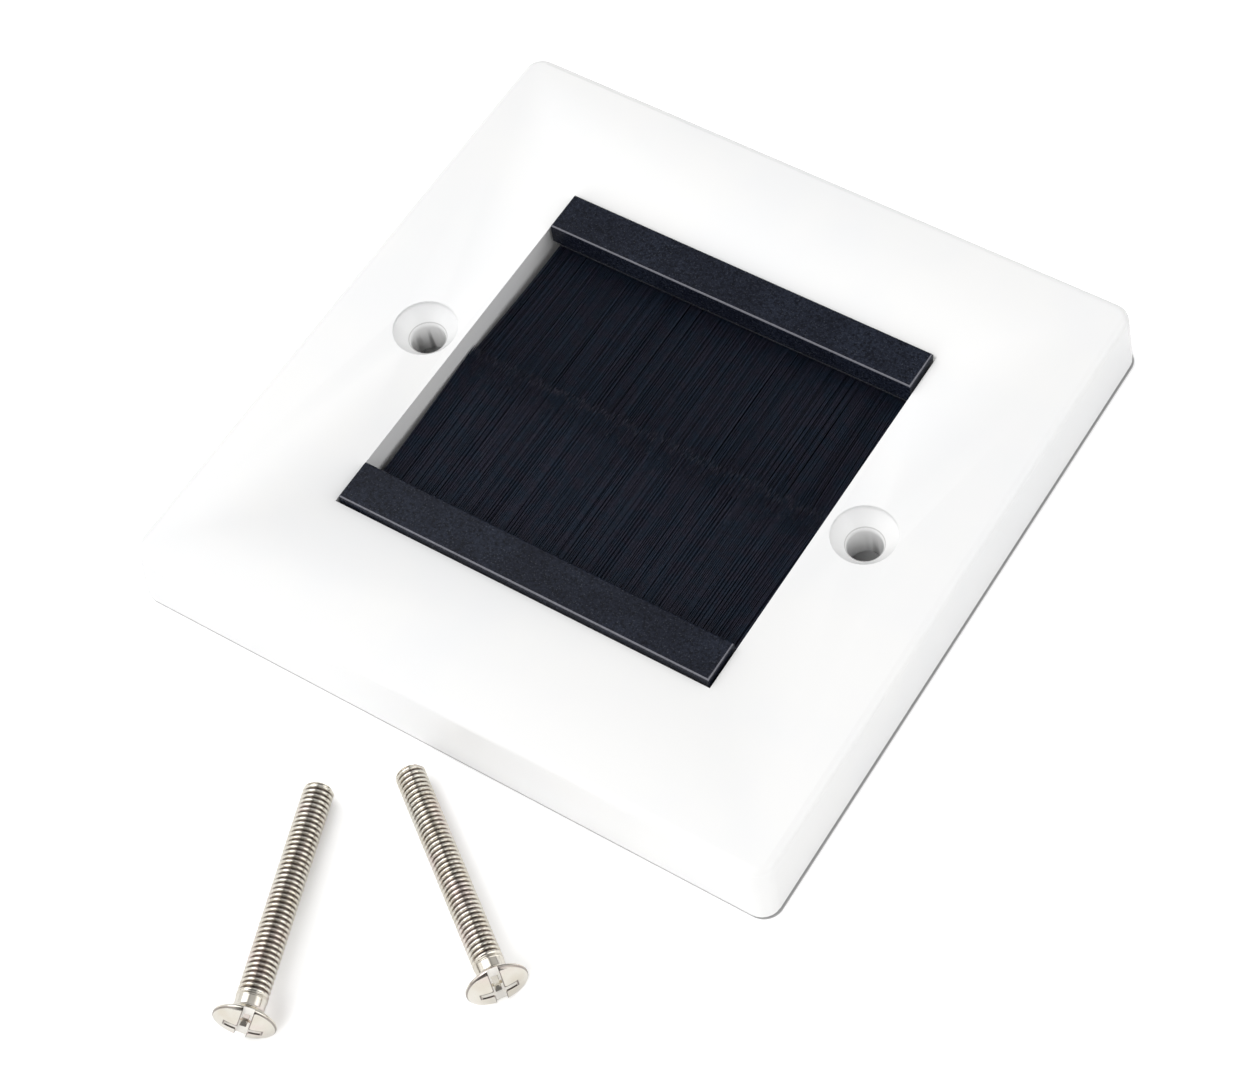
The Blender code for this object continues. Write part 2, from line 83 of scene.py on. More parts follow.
# The two packs: how far each is turned, where the meeting line lies as it is drawn, how far its tips pass
# that line, how high they ride over the other pack's, and the seed
PACKS = {
    "back": {"turn": 0.0, "line": MEETING_LINE, "overlap": 0.0022, "ride": -0.00006, "seed": 5},
    "front": {"turn": math.pi, "line": -MEETING_LINE, "overlap": 0.0006, "ride": 0.00008, "seed": 17},
}

# How far filaments stray: in locks that neighbours share, in wider waves, and each by itself
LOCK_LEAN = 0.00016
WAVE_LEAN = 0.0006
END_LEAN = 0.0007
OWN_LEAN = 0.00011
LOCK_LENGTH = 0.0012
OWN_SHORTER = 0.0009
OWN_LONGER = 0.0004
LAYER_LIFT = 0.00012
LOCK_LIFT = 0.0001
OWN_LIFT = 0.00006
OWN_BOW = 0.0001

# From one filament to the next, the height in the slot steps by this share of its thickness
GOLDEN_SHARE = 0.6180339

# Fixing screw, with z = 0 at the rim of its head. Its dome and brow end at shares of the head's radius
SCREW_HEAD_RADIUS = 0.0035
SCREW_LAND = 0.00035
SCREW_DOME = 0.0008
SCREW_DOME_POWER = 2.7
SCREW_DOME_SHARE = 0.965
SCREW_BROW_SHARE = 0.98
SCREW_ROUND = 0.00005
SCREW_WORN_EDGE = 0.0001
SCREW_CONE_LENGTH = 0.0011
SCREW_SHANK_RADIUS = 0.0017
SCREW_SHANK_LENGTH = 0.00145
SCREW_SHANK_CHAMFER = 0.0002
SCREW_THREAD_RADIUS = 0.00175
SCREW_THREAD_PITCH = 0.0006
SCREW_THREAD_DEPTH = 0.00034
SCREW_THREAD_RUN_IN = 0.0008
SCREW_THREAD_OVERLAP = 0.0001
SCREW_REACH = 0.0291
SCREW_TIP_CHAMFER = 0.0004
SCREW_SLOT_WIDTH = 0.0012
SCREW_SLOT_DEPTH = 0.0011
SCREW_CROSS_WIDTH = 0.0009
SCREW_CROSS_LENGTH = 0.0042
SCREW_CROSS_DEPTH = 0.0017
SCREW_DIAMOND = 0.0018
SCREW_DIAMOND_DEPTH = 0.0015
SCREW_CUT_ABOVE = 0.0004

# How finely a screw is divided
DOME_RINGS = 14
HEAD_SIDES = 72
THREAD_ROWS_PER_TURN = 14
THREAD_SIDES = 32

# A thread's section: the swing and middle of the wave whose cut-off tops are the crests
RIDGE_SWING = 0.75
RIDGE_MIDDLE = 0.62

# How dark the painted reflection is on the brow of a head, where the painted shade at the root of the
# thread is 1
BROW_DARK_REFLECTION = 0.65

# How each screw lies, from the plate's front edge
LYING_SCREWS = {
    "left": {"across": 0.00138, "ahead": 0.03818, "heading": -69.7, "turn": -20.0},
    "right": {"across": 0.02245, "ahead": 0.02134, "heading": -35.7, "turn": 0.0},
}

# The plate and the screws touch the card at a few points only, so its surface is this far below them
CARD_GAP = 0.00012
CARD_SIDE = 6.0

# The painted shadow in the slit between plate and card: the radius of its corners, and how far it is set
# right and back
PLATE_CORNER = 0.0023
SHADOW_SHIFT = 0.00014

# Bright panels of the room: direction, cosine at the outer edge, and strength. Each reaches its strength
# at this share of the way to its middle
PANEL_FADE = 0.75
LIGHT_PANELS = (
    (-0.55, 0.05, 0.83, 0.86, 1.80),
    (-0.92, 0.05, 0.38, 0.76, 0.70),
    (0.88, 0.27, 0.38, 0.76, 1.55),
    (-0.50, -0.76, 0.42, 0.76, 0.80),
    (0.25, 0.68, 0.69, 0.76, 0.38),
)
ROOM_STRENGTH = 0.18

# Lamps: place from the plate's middle, side, watts, and whether polished metal mirrors them
LAMPS = {
    "key_softbox": {"place": (-0.60, -0.84, 1.32), "side": 0.36, "watts": 1.0, "mirrored": True},
    "high_fill": {"place": (0.25, -0.80, 1.00), "side": 0.5, "watts": 4.0, "mirrored": False},
    "low_fill": {"place": (0.00, -1.10, 0.35), "side": 0.4, "watts": 2.0, "mirrored": False},
}


class Value:
    """One socket of a node tree. Arithmetic on it adds Math nodes to the tree."""

    def __init__(self, graph, socket):
        self.graph = graph
        self.socket = socket

    def math(self, operation, *others, clamp=False):
        settings = {"operation": operation, "use_clamp": clamp}
        return self.graph.add("ShaderNodeMath", settings, dict(enumerate((self, *others))))[0]

    def __add__(self, other):
        return self.math("ADD", other)

    def __sub__(self, other):
        return self.math("SUBTRACT", other)

    def __rsub__(self, other):
        return self.graph.add("ShaderNodeMath", {"operation": "SUBTRACT"}, {0: other, 1: self})[0]

    def __mul__(self, other):
        return self.math("MULTIPLY", other)

    __radd__ = __add__
    __rmul__ = __mul__

    def __truediv__(self, other):
        return self.math("DIVIDE", other)

    def __pow__(self, other):
        return self.math("POWER", other)

    def clamped(self):
        """The value, kept between 0 and 1."""
        return self.math("ADD", 0.0, clamp=True)

    def spread(self, low, high):
        """0 at or below low, 1 at or above high, with a smooth way between."""
        settings = {"interpolation_type": "SMOOTHSTEP"}
        sockets = {"Value": self, "From Min": low, "From Max": high}
        return self.graph.add("ShaderNodeMapRange", settings, sockets)["Result"]


class Outputs:
    """A node's outputs, by name or by place."""

    def __init__(self, graph, node):
        self.graph = graph
        self.node = node

    def __getitem__(self, key):
        return Value(self.graph, pick(self.node.outputs, key))


def pick(sockets, key):
    """The socket in use that has this name, or the one at this place."""
    if isinstance(key, int):
        return sockets[key]
    return next(socket for socket in sockets if socket.name == key and socket.enabled)


class Graph:
    """A node tree that is written as expressions."""

    def __init__(self, tree):
        self.tree = tree

    def add(self, kind, settings=None, sockets=None):
        """Adds a node: first its settings, then the values or links of its sockets."""
        node = self.tree.nodes.new(kind)
        for name, value in (settings or {}).items():
            setattr(node, name, value)
        for key, value in (sockets or {}).items():
            socket = pick(node.inputs, key)
            if isinstance(value, Value):
                self.tree.links.new(value.socket, socket)
            else:
                socket.default_value = value
        return Outputs(self, node)

    def axes(self, vector):
        """The X, Y and Z of a vector."""
        return self.add("ShaderNodeSeparateXYZ", None, {"Vector": vector})

    def vector(self, x=0.0, y=0.0, z=0.0):
        """A vector from its parts."""
        return self.add("ShaderNodeCombineXYZ", None, {"X": x, "Y": y, "Z": z})["Vector"]

    def attribute(self, name, output="Fac"):
        """What a piece's mesh stores under this name."""
        return self.add("ShaderNodeAttribute", {"attribute_name": name})[output]

    def drawn_out(self, place, scale):
        """The place, stretched for a pattern that runs along X."""
        return self.add("ShaderNodeMapping", None, {"Vector": place, "Scale": scale})["Vector"]

    def mix(self, factor, first, second):
        """A colour between the two, by the factor."""
        sockets = {"Factor": factor, "A": opaque(first), "B": opaque(second)}
        return self.add("ShaderNodeMix", {"data_type": "RGBA"}, sockets)["Result"]

    def noise(self, place, scale, detail=2.0, roughness=0.5):
        sockets = {"Vector": place, "Scale": scale, "Detail": detail, "Roughness": roughness}
        return self.add("ShaderNodeTexNoise", None, sockets)[0]

    def bump(self, height, distance, strength):
        sockets = {"Height": height, "Distance": distance, "Strength": strength}
        return self.add("ShaderNodeBump", None, sockets)["Normal"]


def opaque(colour):
    """A colour with full alpha, or a link as it is."""
    if isinstance(colour, Value):
        return colour
    return (*colour[:3], 1.0)


def new_material(name):
    """A material with an empty tree, its graph, and the Object coordinates on it."""
    material = bpy.data.materials.new(name)
    material.use_nodes = True
    material.node_tree.nodes.clear()
    graph = Graph(material.node_tree)
    return material, graph, graph.add("ShaderNodeTexCoord")["Object"]


def finish_surface(graph, settings, links):
    """Ends a material in a Principled shader: constants on its sockets, then what varies."""
    shader = graph.add("ShaderNodeBsdfPrincipled", None, {**settings, **links})
    graph.add("ShaderNodeOutputMaterial", None, {"Surface": shader["BSDF"]})


def white_plastic():
    """Glossy moulded plastic, polished outside and plain from the tool on the back, where it is also a
    little greyer, with painted shade in the step at the foot of each screw seat's cone.
    """
    material, graph, place = new_material("gloss_white_plastic")
    cloud = graph.noise(place, 60.0, 3.0)
    ripple = graph.noise(place, 900.0, 2.0)
    grain = graph.noise(place, 5200.0, 1.0)
    upward = graph.axes(graph.add("ShaderNodeNewGeometry")["True Normal"])["Z"]
    back = (upward * -1.0).spread(0.5, 0.9)
    colour = graph.mix(cloud.spread(0.35, 0.65), (0.885, 0.888, 0.892), (0.905, 0.903, 0.897))
    colour = graph.mix(back * 0.35, colour, (0.85, 0.85, 0.84))
    # Painted shade: a dark line in the step where each seat's cone meets its bore
    colour = graph.mix(seat_step_shade(graph, place) * 0.55, colour, (0.40, 0.39, 0.38))
    rough = 0.17 + (cloud - 0.5) * 0.08 + back * 0.30
    height = ripple * 0.6 + grain * (0.2 + back * 1.2)
    finish_surface(graph, {"IOR": 1.49}, {
        "Base Color": colour,
        "Roughness": rough.clamped(),
        "Normal": graph.bump(height, 0.000012, 0.35),
    })
    return material


def seat_step_shade(graph, place):
    """1 on the painted shade line in the step at the foot of each screw seat's cone, 0 elsewhere."""
    axes = graph.axes(place)
    across = (axes["X"] - PLATE_MIDDLE.x).math("ABSOLUTE") - HOLE_PITCH / 2
    along = axes["Y"] - PLATE_MIDDLE.y
    radius = (across * across + along * along) ** 0.5
    off_line = (radius - SEAT_STEP_RADIUS).math("ABSOLUTE")
    line = 1.0 - off_line.spread(SEAT_STEP_WIDTH * 0.3, SEAT_STEP_WIDTH)
    return line * axes["Z"].spread(SEAT_STEP_HEIGHT - 0.0002, SEAT_STEP_HEIGHT)


def black_plastic():
    """Black moulding with a fine sparkling grain, and a painted highlight along its upper front and right
    edges.
    """
    material, graph, place = new_material("grained_black_plastic")
    grain = graph.noise(place, 3000.0, 3.0, 0.6)
    fleck = graph.noise(place, 5600.0, 2.0, 0.6).spread(0.58, 0.74)
    cloud = graph.noise(place, 140.0, 2.0)
    colour = graph.mix(cloud.spread(0.3, 0.7), (0.010, 0.012, 0.021), (0.016, 0.020, 0.033))
    colour = graph.mix(grain.spread(0.30, 0.62), (0.003, 0.004, 0.008), colour)
    colour = graph.mix(fleck * 0.45, colour, (0.11, 0.12, 0.14))
    facing = graph.axes(graph.add("ShaderNodeNewGeometry")["Normal"])
    upward = facing["Z"]
    # Painted highlight: paler colour on the upper front and right edge fillets, where the light catches
    # them
    edge_highlight = upward.spread(0.35, 0.65) * (1.0 - upward.spread(0.93, 0.985))
    edge_highlight = edge_highlight * (facing["X"] - facing["Y"]).spread(0.0, 0.3)
    colour = graph.mix(edge_highlight * (0.5 + grain * 0.5), colour, (0.24, 0.24, 0.27))
    rough = 0.25 + (grain - 0.5) * 0.20
    finish_surface(graph, {"IOR": 1.45, "Specular IOR Level": 0.14}, {
        "Base Color": colour,
        "Roughness": rough.clamped(),
        "Normal": graph.bump(grain, 0.00003, 0.6),
    })
    return material


def bristle_nylon():
    """Drawn black nylon, a little lighter or darker from one filament to the next, with dust and with cut
    ends painted pale as a highlight.
    """
    material, graph, place = new_material("black_nylon")
    shade = graph.attribute("shade")
    blue = graph.noise(place, 700.0, 2.0).spread(0.35, 0.65)
    lint = graph.noise(place, 2600.0, 3.0, 0.7).spread(0.35, 0.68)
    dark = graph.mix(blue, (0.009, 0.010, 0.019), (0.006, 0.011, 0.021))
    light = graph.mix(blue, (0.020, 0.020, 0.036), (0.012, 0.021, 0.039))
    # Painted highlight: the last part of each filament is paler, as if its cut tip caught the light
    tip_highlight = graph.attribute("run").spread(0.97, 0.995)
    dust = graph.noise(place, 7000.0, 2.0, 0.7).spread(0.50, 0.75)
    rough = 0.42 + shade * 0.15
    nylon = graph.mix(shade * 0.3 + lint * 0.7, dark, light)
    # Dust, and the painted highlight at the tips, both mixed toward a pale grey
    dust_and_tip_highlight = (dust * 0.35 + tip_highlight * 0.5).clamped()
    draw = graph.noise(place, 9000.0, 1.0)
    finish_surface(graph, {"IOR": 1.53, "Specular IOR Level": 0.13}, {
        "Base Color": graph.mix(dust_and_tip_highlight, nylon, (0.06, 0.06, 0.075)),
        "Roughness": rough.clamped(),
        "Normal": graph.bump(draw, 0.00001, 0.3),
    })
    return material


def zinc_steel():
    """Zinc plated sheet with fine rolling lines along the strip."""
    material, graph, place = new_material("zinc_plated_steel")
    lines = graph.noise(graph.drawn_out(place, (20.0, 900.0, 900.0)), 4.0, 3.0)
    bloom = graph.noise(place, 700.0, 3.0)
    colour = graph.mix(bloom, (0.50, 0.51, 0.54), (0.62, 0.63, 0.66))
    finish_surface(graph, {"Metallic": 1.0}, {
        "Base Color": colour,
        "Roughness": (0.28 + lines * 0.25).clamped(),
        "Normal": graph.bump(lines, 0.00002, 0.4),
    })
    return material


def steel_wire():
    """Drawn wire, with die marks along it."""
    material, graph, place = new_material("drawn_steel_wire")
    lines = graph.noise(graph.drawn_out(place, (30.0, 2500.0, 2500.0)), 3.0, 2.0)
    colour = graph.mix(lines, (0.34, 0.34, 0.36), (0.50, 0.50, 0.52))
    finish_surface(graph, {"Metallic": 1.0}, {
        "Base Color": colour,
        "Roughness": (0.22 + lines * 0.2).clamped(),
        "Normal": graph.bump(lines, 0.00001, 0.4),
    })
    return material


def nickel_plate():
    """Warm nickel plating, marked by handling, with painted light: a pale recess with a painted shade line
    round it, a painted dark reflection on the head's brow, and painted shade at the thread's root.
    """
    material, graph, place = new_material("warm_nickel_plate")
    patch = graph.noise(place, 420.0, 3.0)
    marks = graph.noise(place, 3600.0, 2.0)
    warm = graph.noise(place, 260.0, 2.0)
    colour = graph.mix(patch.spread(0.3, 0.7), (0.74, 0.69, 0.60), (0.80, 0.77, 0.70))
    colour = graph.mix(warm.spread(0.5, 0.7) * 0.5, colour, (0.80, 0.68, 0.66))
    # Painted shade at the thread's root and a painted dark reflection on the head's brow, from the stored
    # attribute
    painted_dark = graph.attribute("painted_dark")
    dark = graph.mix(warm, (0.11, 0.085, 0.075), (0.19, 0.145, 0.135))
    recess_glare, edge = recess_glare_and_shade(graph)
    # Painted highlight: the recess is pale, rough and barely metallic, so that it reads bright
    colour = graph.mix(recess_glare * 0.9, colour, (0.96, 0.94, 0.90))
    colour = graph.mix(painted_dark.spread(0.25, 0.85) * 0.88, colour, dark)
    # Painted shade: a dark line round the edges of the recess
    colour = graph.mix(edge * 0.9, colour, dark)
    rough = 0.05 + patch * 0.10 + marks * 0.05 + painted_dark * 0.10 + recess_glare * 0.3
    finish_surface(graph, {}, {
        "Base Color": colour,
        "Metallic": 1.0 - recess_glare * 0.8,
        "Roughness": rough.clamped(),
        "Normal": graph.bump(marks, 0.000008, 0.3),
    })
    return material


def white_card():
    """The card that the object lies on, which the camera and mirrors see as white, with a painted shadow
    along the slit under the plate's edge.
    """
    material, graph, place = new_material("white_card")
    tone = graph.noise(place, 9.0, 2.0)
    paper = graph.mix(tone, (0.93, 0.93, 0.93), (0.95, 0.95, 0.95))
    ray = graph.add("ShaderNodeLightPath")
    mirrored = (ray["Is Glossy Ray"] + ray["Is Transmission Ray"]).clamped()
    colour = graph.mix(mirrored, paper, (0.97, 0.97, 0.97))
    colour = graph.mix(ray["Is Camera Ray"], colour, (1.32, 1.32, 1.32))
    # Painted shadow: a dark band on the card just under the plate's edge
    colour = graph.mix(painted_contact_shadow(graph, place) * 0.75, colour, (0.10, 0.10, 0.10))
    finish_surface(graph, {"Roughness": 0.9, "Specular IOR Level": 0.0}, {"Base Color": colour})
    return material


def recess_glare_and_shade(graph):
    """Two masks on a screw: its recess, painted pale and matt as a highlight, and the painted shade line
    round it.
    """
    axes = graph.axes(graph.attribute("own_place", "Vector"))
    across = axes["X"].math("ABSOLUTE")
    along = axes["Y"].math("ABSOLUTE")
    inset = (across * across + along * along) ** 0.5 / SCREW_HEAD_RADIUS
    dome = (1.0 - inset ** SCREW_DOME_POWER) * SCREW_DOME
    sunk = dome - axes["Z"]
    above_land = axes["Z"].spread(-SCREW_LAND - 0.00001, -SCREW_LAND + SCREW_ROUND)
    on_head = above_land * (1.0 - inset.spread(SCREW_DOME_SHARE, SCREW_BROW_SHARE))
    # Below the dome is recess, and above it the painted shade line follows the outline of the cuts
    deep = sunk.spread(0.0001, 0.0002)
    slot = along - SCREW_SLOT_WIDTH / 2
    arm = (across - SCREW_CROSS_WIDTH / 2).math("MAXIMUM", along - SCREW_CROSS_LENGTH / 2)
    corner = (across + along) * math.sqrt(0.5) - SCREW_DIAMOND / 2
    off_edge = slot.math("MINIMUM", arm).math("MINIMUM", corner).math("ABSOLUTE")
    line = 1.0 - off_edge.spread(0.00004, 0.00013)
    return deep * on_head, line * (1.0 - deep) * on_head


def painted_contact_shadow(graph, place):
    """1 where the shadow is painted in the slit under the plate's edge, by the distance from its rounded
    outline, 0 elsewhere.
    """
    axes = graph.axes(place)
    half = (PLATE_HIGH - PLATE_LOW) / 2
    over_x = (axes["X"] - PLATE_MIDDLE.x - SHADOW_SHIFT).math("ABSOLUTE") - (half.x - PLATE_CORNER)
    over_y = (axes["Y"] - PLATE_MIDDLE.y - SHADOW_SHIFT).math("ABSOLUTE") - (half.y - PLATE_CORNER)
    out_x = over_x.math("MAXIMUM", 0.0)
    out_y = over_y.math("MAXIMUM", 0.0)
    outside = (out_x * out_x + out_y * out_y) ** 0.5 - PLATE_CORNER
    inside = over_x.math("MAXIMUM", over_y).math("MINIMUM", 0.0)
    edge = outside + inside
    return edge.spread(-0.0009, -0.0006) * (1.0 - edge.spread(-0.0001, 0.00016))


def assign(piece, material):
    """Gives the piece this material alone."""
    piece.data.materials.clear()
    piece.data.materials.append(material)


def stands_for(piece, node):
    """Makes the piece part of the object in place of a CAD node, which it hides."""
    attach(piece, "root")
    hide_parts(node)


def link(name, data):
    """A new object in the scene that shows this mesh, camera or lamp."""
    piece = bpy.data.objects.new(name, data)
    bpy.context.scene.collection.objects.link(piece)
    return piece


def discard(piece):
    """Removes an object and its mesh."""
    mesh = piece.data
    bpy.data.objects.remove(piece, do_unlink=True)
    bpy.data.meshes.remove(mesh)


def applied(piece):
    """The piece with its modifiers and its place worked into a new mesh at the origin."""
    bpy.context.view_layer.update()
    graph = bpy.context.evaluated_depsgraph_get()
    mesh = bpy.data.meshes.new_from_object(piece.evaluated_get(graph))
    mesh.transform(piece.matrix_world)
    name = piece.name
    discard(piece)
    mesh.name = name
    return link(name, mesh)


def moulded_copy(node, name, sharp_from, edge=0.0):
    """A joined-up copy of a CAD node, smooth below an angle, with the edges above it eased by edge."""
    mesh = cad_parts[node].data.copy()
    bm = bmesh.new()
    bm.from_mesh(mesh)
    bmesh.ops.remove_doubles(bm, verts=bm.verts, dist=2e-6)
    bm.to_mesh(mesh)
    bm.free()
    mesh.shade_smooth()
    piece = link(name, mesh)
    if edge:
        bevel = piece.modifiers.new("eased_edges", "BEVEL")
        bevel.width = edge
        bevel.segments = 2
        bevel.limit_method = "ANGLE"
        bevel.angle_limit = sharp_from
    else:
        mesh.set_sharp_from_angle(angle=sharp_from)
    weighted = piece.modifiers.new("flat_faces_lead", "WEIGHTED_NORMAL")
    weighted.weight = 100
    weighted.keep_sharp = True
    return applied(piece)


def geometry_tree(name, inputs):
    """A Geometry Nodes tree with named inputs: the tree, its graph and the inputs as values."""
    tree = bpy.data.node_groups.new(name, "GeometryNodeTree")
    tree.interface.new_socket("Geometry", in_out="OUTPUT", socket_type="NodeSocketGeometry")
    for label, kind in inputs.items():
        tree.interface.new_socket(label, in_out="INPUT", socket_type=kind)
    graph = Graph(tree)
    group = graph.add("NodeGroupInput")
    return tree, graph, {label: group[label] for label in inputs}


def grown(name, tree, values):
    """A plain mesh piece that the tree makes from these input values."""
    piece = link(name, bpy.data.meshes.new(name))
    modifier = piece.modifiers.new("grow", "NODES")
    modifier.node_group = tree
    for item in tree.interface.items_tree:
        if item.in_out == "INPUT":
            modifier[item.identifier] = values[item.name]
    return applied(piece)


def bristle_tree():
    """Filaments that leave a slot at +Y and run to a ragged line of tips."""
    tree, graph, given = geometry_tree("bristle_pack", {
        "Filaments": "NodeSocketInt",
        "Slot Length": "NodeSocketFloat",
        "Slot Thickness": "NodeSocketFloat",
        "Slot Y": "NodeSocketFloat",
        "Height": "NodeSocketFloat",
        "Reach": "NodeSocketFloat",
        "Tip Ride": "NodeSocketFloat",
        "Radius": "NodeSocketFloat",
        "Seed": "NodeSocketInt",
        "Material": "NodeSocketMaterial",
    })

    def scatter(low, high, salt):
        """A number that is fixed for each filament."""
        sockets = {"Min": low, "Max": high, "Seed": given["Seed"] + salt}
        return graph.add("FunctionNodeRandomValue", {"data_type": "FLOAT"}, sockets)["Value"]

    def shared(scale, salt):
        """A number from -0.5 to 0.5 that neighbours share, so that filaments gather in locks."""
        return graph.noise(graph.vector(root_x, given["Seed"] + salt), scale) - 0.5

    index = graph.add("GeometryNodeInputIndex")["Index"]
    share = (index + scatter(0.0, 1.0, 1)) / given["Filaments"] - 0.5
    root_x = share * given["Slot Length"]
    layer = (index * GOLDEN_SHARE + scatter(0.0, 0.08, 2)).math("FRACT") * 2.0 - 1.0
    root_z = layer * given["Slot Thickness"] * 0.5
    root = graph.vector(root_x, given["Slot Y"], root_z)
    points = graph.add("GeometryNodePoints", None, {"Count": given["Filaments"], "Position": root})[0]

    def keep(geometry, name, value):
        settings = {"data_type": "FLOAT", "domain": "POINT"}
        sockets = {"Geometry": geometry, "Name": name, "Value": value}
        return graph.add("GeometryNodeStoreNamedAttribute", settings, sockets)["Geometry"]

    def kept(name):
        settings = {"data_type": "FLOAT"}
        return graph.add("GeometryNodeInputNamedAttribute", settings, {"Name": name})["Attribute"]

    lock_lean = shared(380.0, 31) * LOCK_LEAN
    wave_lean = shared(90.0, 47) * WAVE_LEAN
    lock_length = shared(520.0, 53) * LOCK_LENGTH
    side = root_x / given["Slot Length"] * 2.0
    end_lean = side ** 5.0 * END_LEAN
    lean = lock_lean + wave_lean + end_lean + scatter(-OWN_LEAN, OWN_LEAN, 3)
    length = given["Reach"] + lock_length + scatter(-OWN_SHORTER, OWN_LONGER, 4)
    lift = layer * LAYER_LIFT + shared(300.0, 61) * LOCK_LIFT + scatter(-OWN_LIFT, OWN_LIFT, 5)
    points = keep(points, "root_x", root_x)
    points = keep(points, "root_z", root_z)
    points = keep(points, "lean", lean)
    points = keep(points, "length", length)
    points = keep(points, "lift", lift + given["Tip Ride"])
    points = keep(points, "bow", scatter(-OWN_BOW, OWN_BOW, 6))
    points = keep(points, "shade", scatter(0.0, 1.0, 7))

    strand = graph.add("GeometryNodeCurvePrimitiveLine", None, {"Start": (0, 0, 0), "End": (0, -1, 0)})[0]
    strand = graph.add("GeometryNodeResampleCurve", None, {"Curve": strand, "Count": FILAMENT_POINTS})[0]
    strands = graph.add("GeometryNodeInstanceOnPoints", None, {"Points": points, "Instance": strand})[0]
    strands = graph.add("GeometryNodeRealizeInstances", None, {"Geometry": strands})[0]

    run = graph.add("GeometryNodeSplineParameter")["Factor"]
    arch = run * (1.0 - run) * 4.0
    x = kept("root_x") + kept("lean") * run ** 1.6 + kept("bow") * arch
    limit = APERTURE_HALF - WALL_CLEARANCE
    x = x.math("MINIMUM", limit).math("MAXIMUM", -limit)
    y = given["Slot Y"] - kept("length") * run
    z = given["Height"] + kept("root_z") * (1.0 - run * 0.12) + kept("lift") * run ** 1.5
    strands = keep(strands, "run", run)
    sockets = {"Geometry": strands, "Position": graph.vector(x, y, z)}
    strands = graph.add("GeometryNodeSetPosition", None, sockets)[0]
    taper = given["Radius"] * (1.0 - run ** 6.0 * 0.55)
    sockets = {"Resolution": FILAMENT_SIDES, "Radius": 1.0}
    section = graph.add("GeometryNodeCurvePrimitiveCircle", None, sockets)[0]
    sweep = {"Curve": strands, "Profile Curve": section, "Scale": taper, "Fill Caps": True}
    mesh = graph.add("GeometryNodeCurveToMesh", None, sweep)[0]
    mesh = graph.add("GeometryNodeRealizeInstances", None, {"Geometry": mesh})[0]
    mesh = graph.add("GeometryNodeSetMaterial", None, {"Geometry": mesh, "Material": given["Material"]})[0]
    graph.add("NodeGroupOutput", None, {"Geometry": mesh})
    return tree


def make_bristles(material):
    """The filaments of both packs, each drawn at +Y and turned to its own side."""
    tree = bristle_tree()
    slot_y = BAR_INNER + SLOT_INSET
    for end, pack in PACKS.items():
        reach = BAR_INNER - pack["line"]
        piece = grown("bristle_filaments_" + end, tree, {
            "Filaments": FILAMENTS,
            "Slot Length": PACK_LENGTH,
            "Slot Thickness": PACK_THICKNESS,
            "Slot Y": slot_y,
            "Height": STRIP_HEIGHT,
            "Reach": reach + slot_y - BAR_INNER + pack["overlap"],
            "Tip Ride": pack["ride"],
            "Radius": FILAMENT_RADIUS,
            "Seed": pack["seed"],
            "Material": material,
        })
        piece.data.transform(Matrix.Translation(PLATE_MIDDLE) @ Matrix.Rotation(pack["turn"], 4, "Z"))
        piece.data.shade_smooth()
        stands_for(piece, "bristles_" + end)


def thread_tree():
    """A closed rod with a helical thread: its top end at z = 0 and its tip below."""
    tree, graph, given = geometry_tree("screw_thread", {
        "Length": "NodeSocketFloat",
        "Crest Radius": "NodeSocketFloat",
        "Depth": "NodeSocketFloat",
        "Pitch": "NodeSocketFloat",
        "Run In": "NodeSocketFloat",
        "Chamfer": "NodeSocketFloat",
        "Rows": "NodeSocketInt",
        "Sides": "NodeSocketInt",
        "Material": "NodeSocketMaterial",
    })
    sheet = graph.add("GeometryNodeMeshGrid", None, {
        "Size X": 1.0, "Size Y": 1.0, "Vertices X": given["Sides"] + 1, "Vertices Y": given["Rows"],
    })["Mesh"]
    axes = graph.axes(graph.add("GeometryNodeInputPosition")["Position"])
    turn = axes["X"] + 0.5
    row = (axes["Y"] + 0.5) * (given["Rows"] - 1.0)
    depth_along = ((row - 1.0) / (given["Rows"] - 3.0)).clamped() * given["Length"]
    # The first and the last row gather on the axis and close the rod
    is_side = row.math("GREATER_THAN", 0.5) * row.math("LESS_THAN", given["Rows"] - 1.5)

    wave = (depth_along / given["Pitch"] + turn) * math.tau
    ridge = (wave.math("SINE") * RIDGE_SWING + RIDGE_MIDDLE).clamped()
    strength = (depth_along / given["Run In"]).clamped()
    thread = given["Crest Radius"] - given["Depth"] * (1.0 - ridge) * strength
    cone = given["Crest Radius"] - given["Chamfer"] + (given["Length"] - depth_along)
    radius = thread.math("MINIMUM", cone) * is_side
    angle = turn * math.tau
    place = graph.vector(angle.math("COSINE") * radius, angle.math("SINE") * radius, depth_along * -1.0)
    rod = graph.add("GeometryNodeSetPosition", None, {"Geometry": sheet, "Position": place})[0]
    rod = graph.add("GeometryNodeMergeByDistance", None, {"Geometry": rod, "Distance": 1e-7})[0]
    rod = graph.add("GeometryNodeRealizeInstances", None, {"Geometry": rod})[0]
    rod = graph.add("GeometryNodeSetMaterial", None, {"Geometry": rod, "Material": given["Material"]})[0]
    graph.add("NodeGroupOutput", None, {"Geometry": rod})
    return tree


def dome_height(radius):
    """Height of a screw's head above its rim: nearly flat in the middle, steeper toward the brow."""
    share = min(radius / SCREW_HEAD_RADIUS, 1.0)
    return SCREW_DOME * (1.0 - share**SCREW_DOME_POWER)


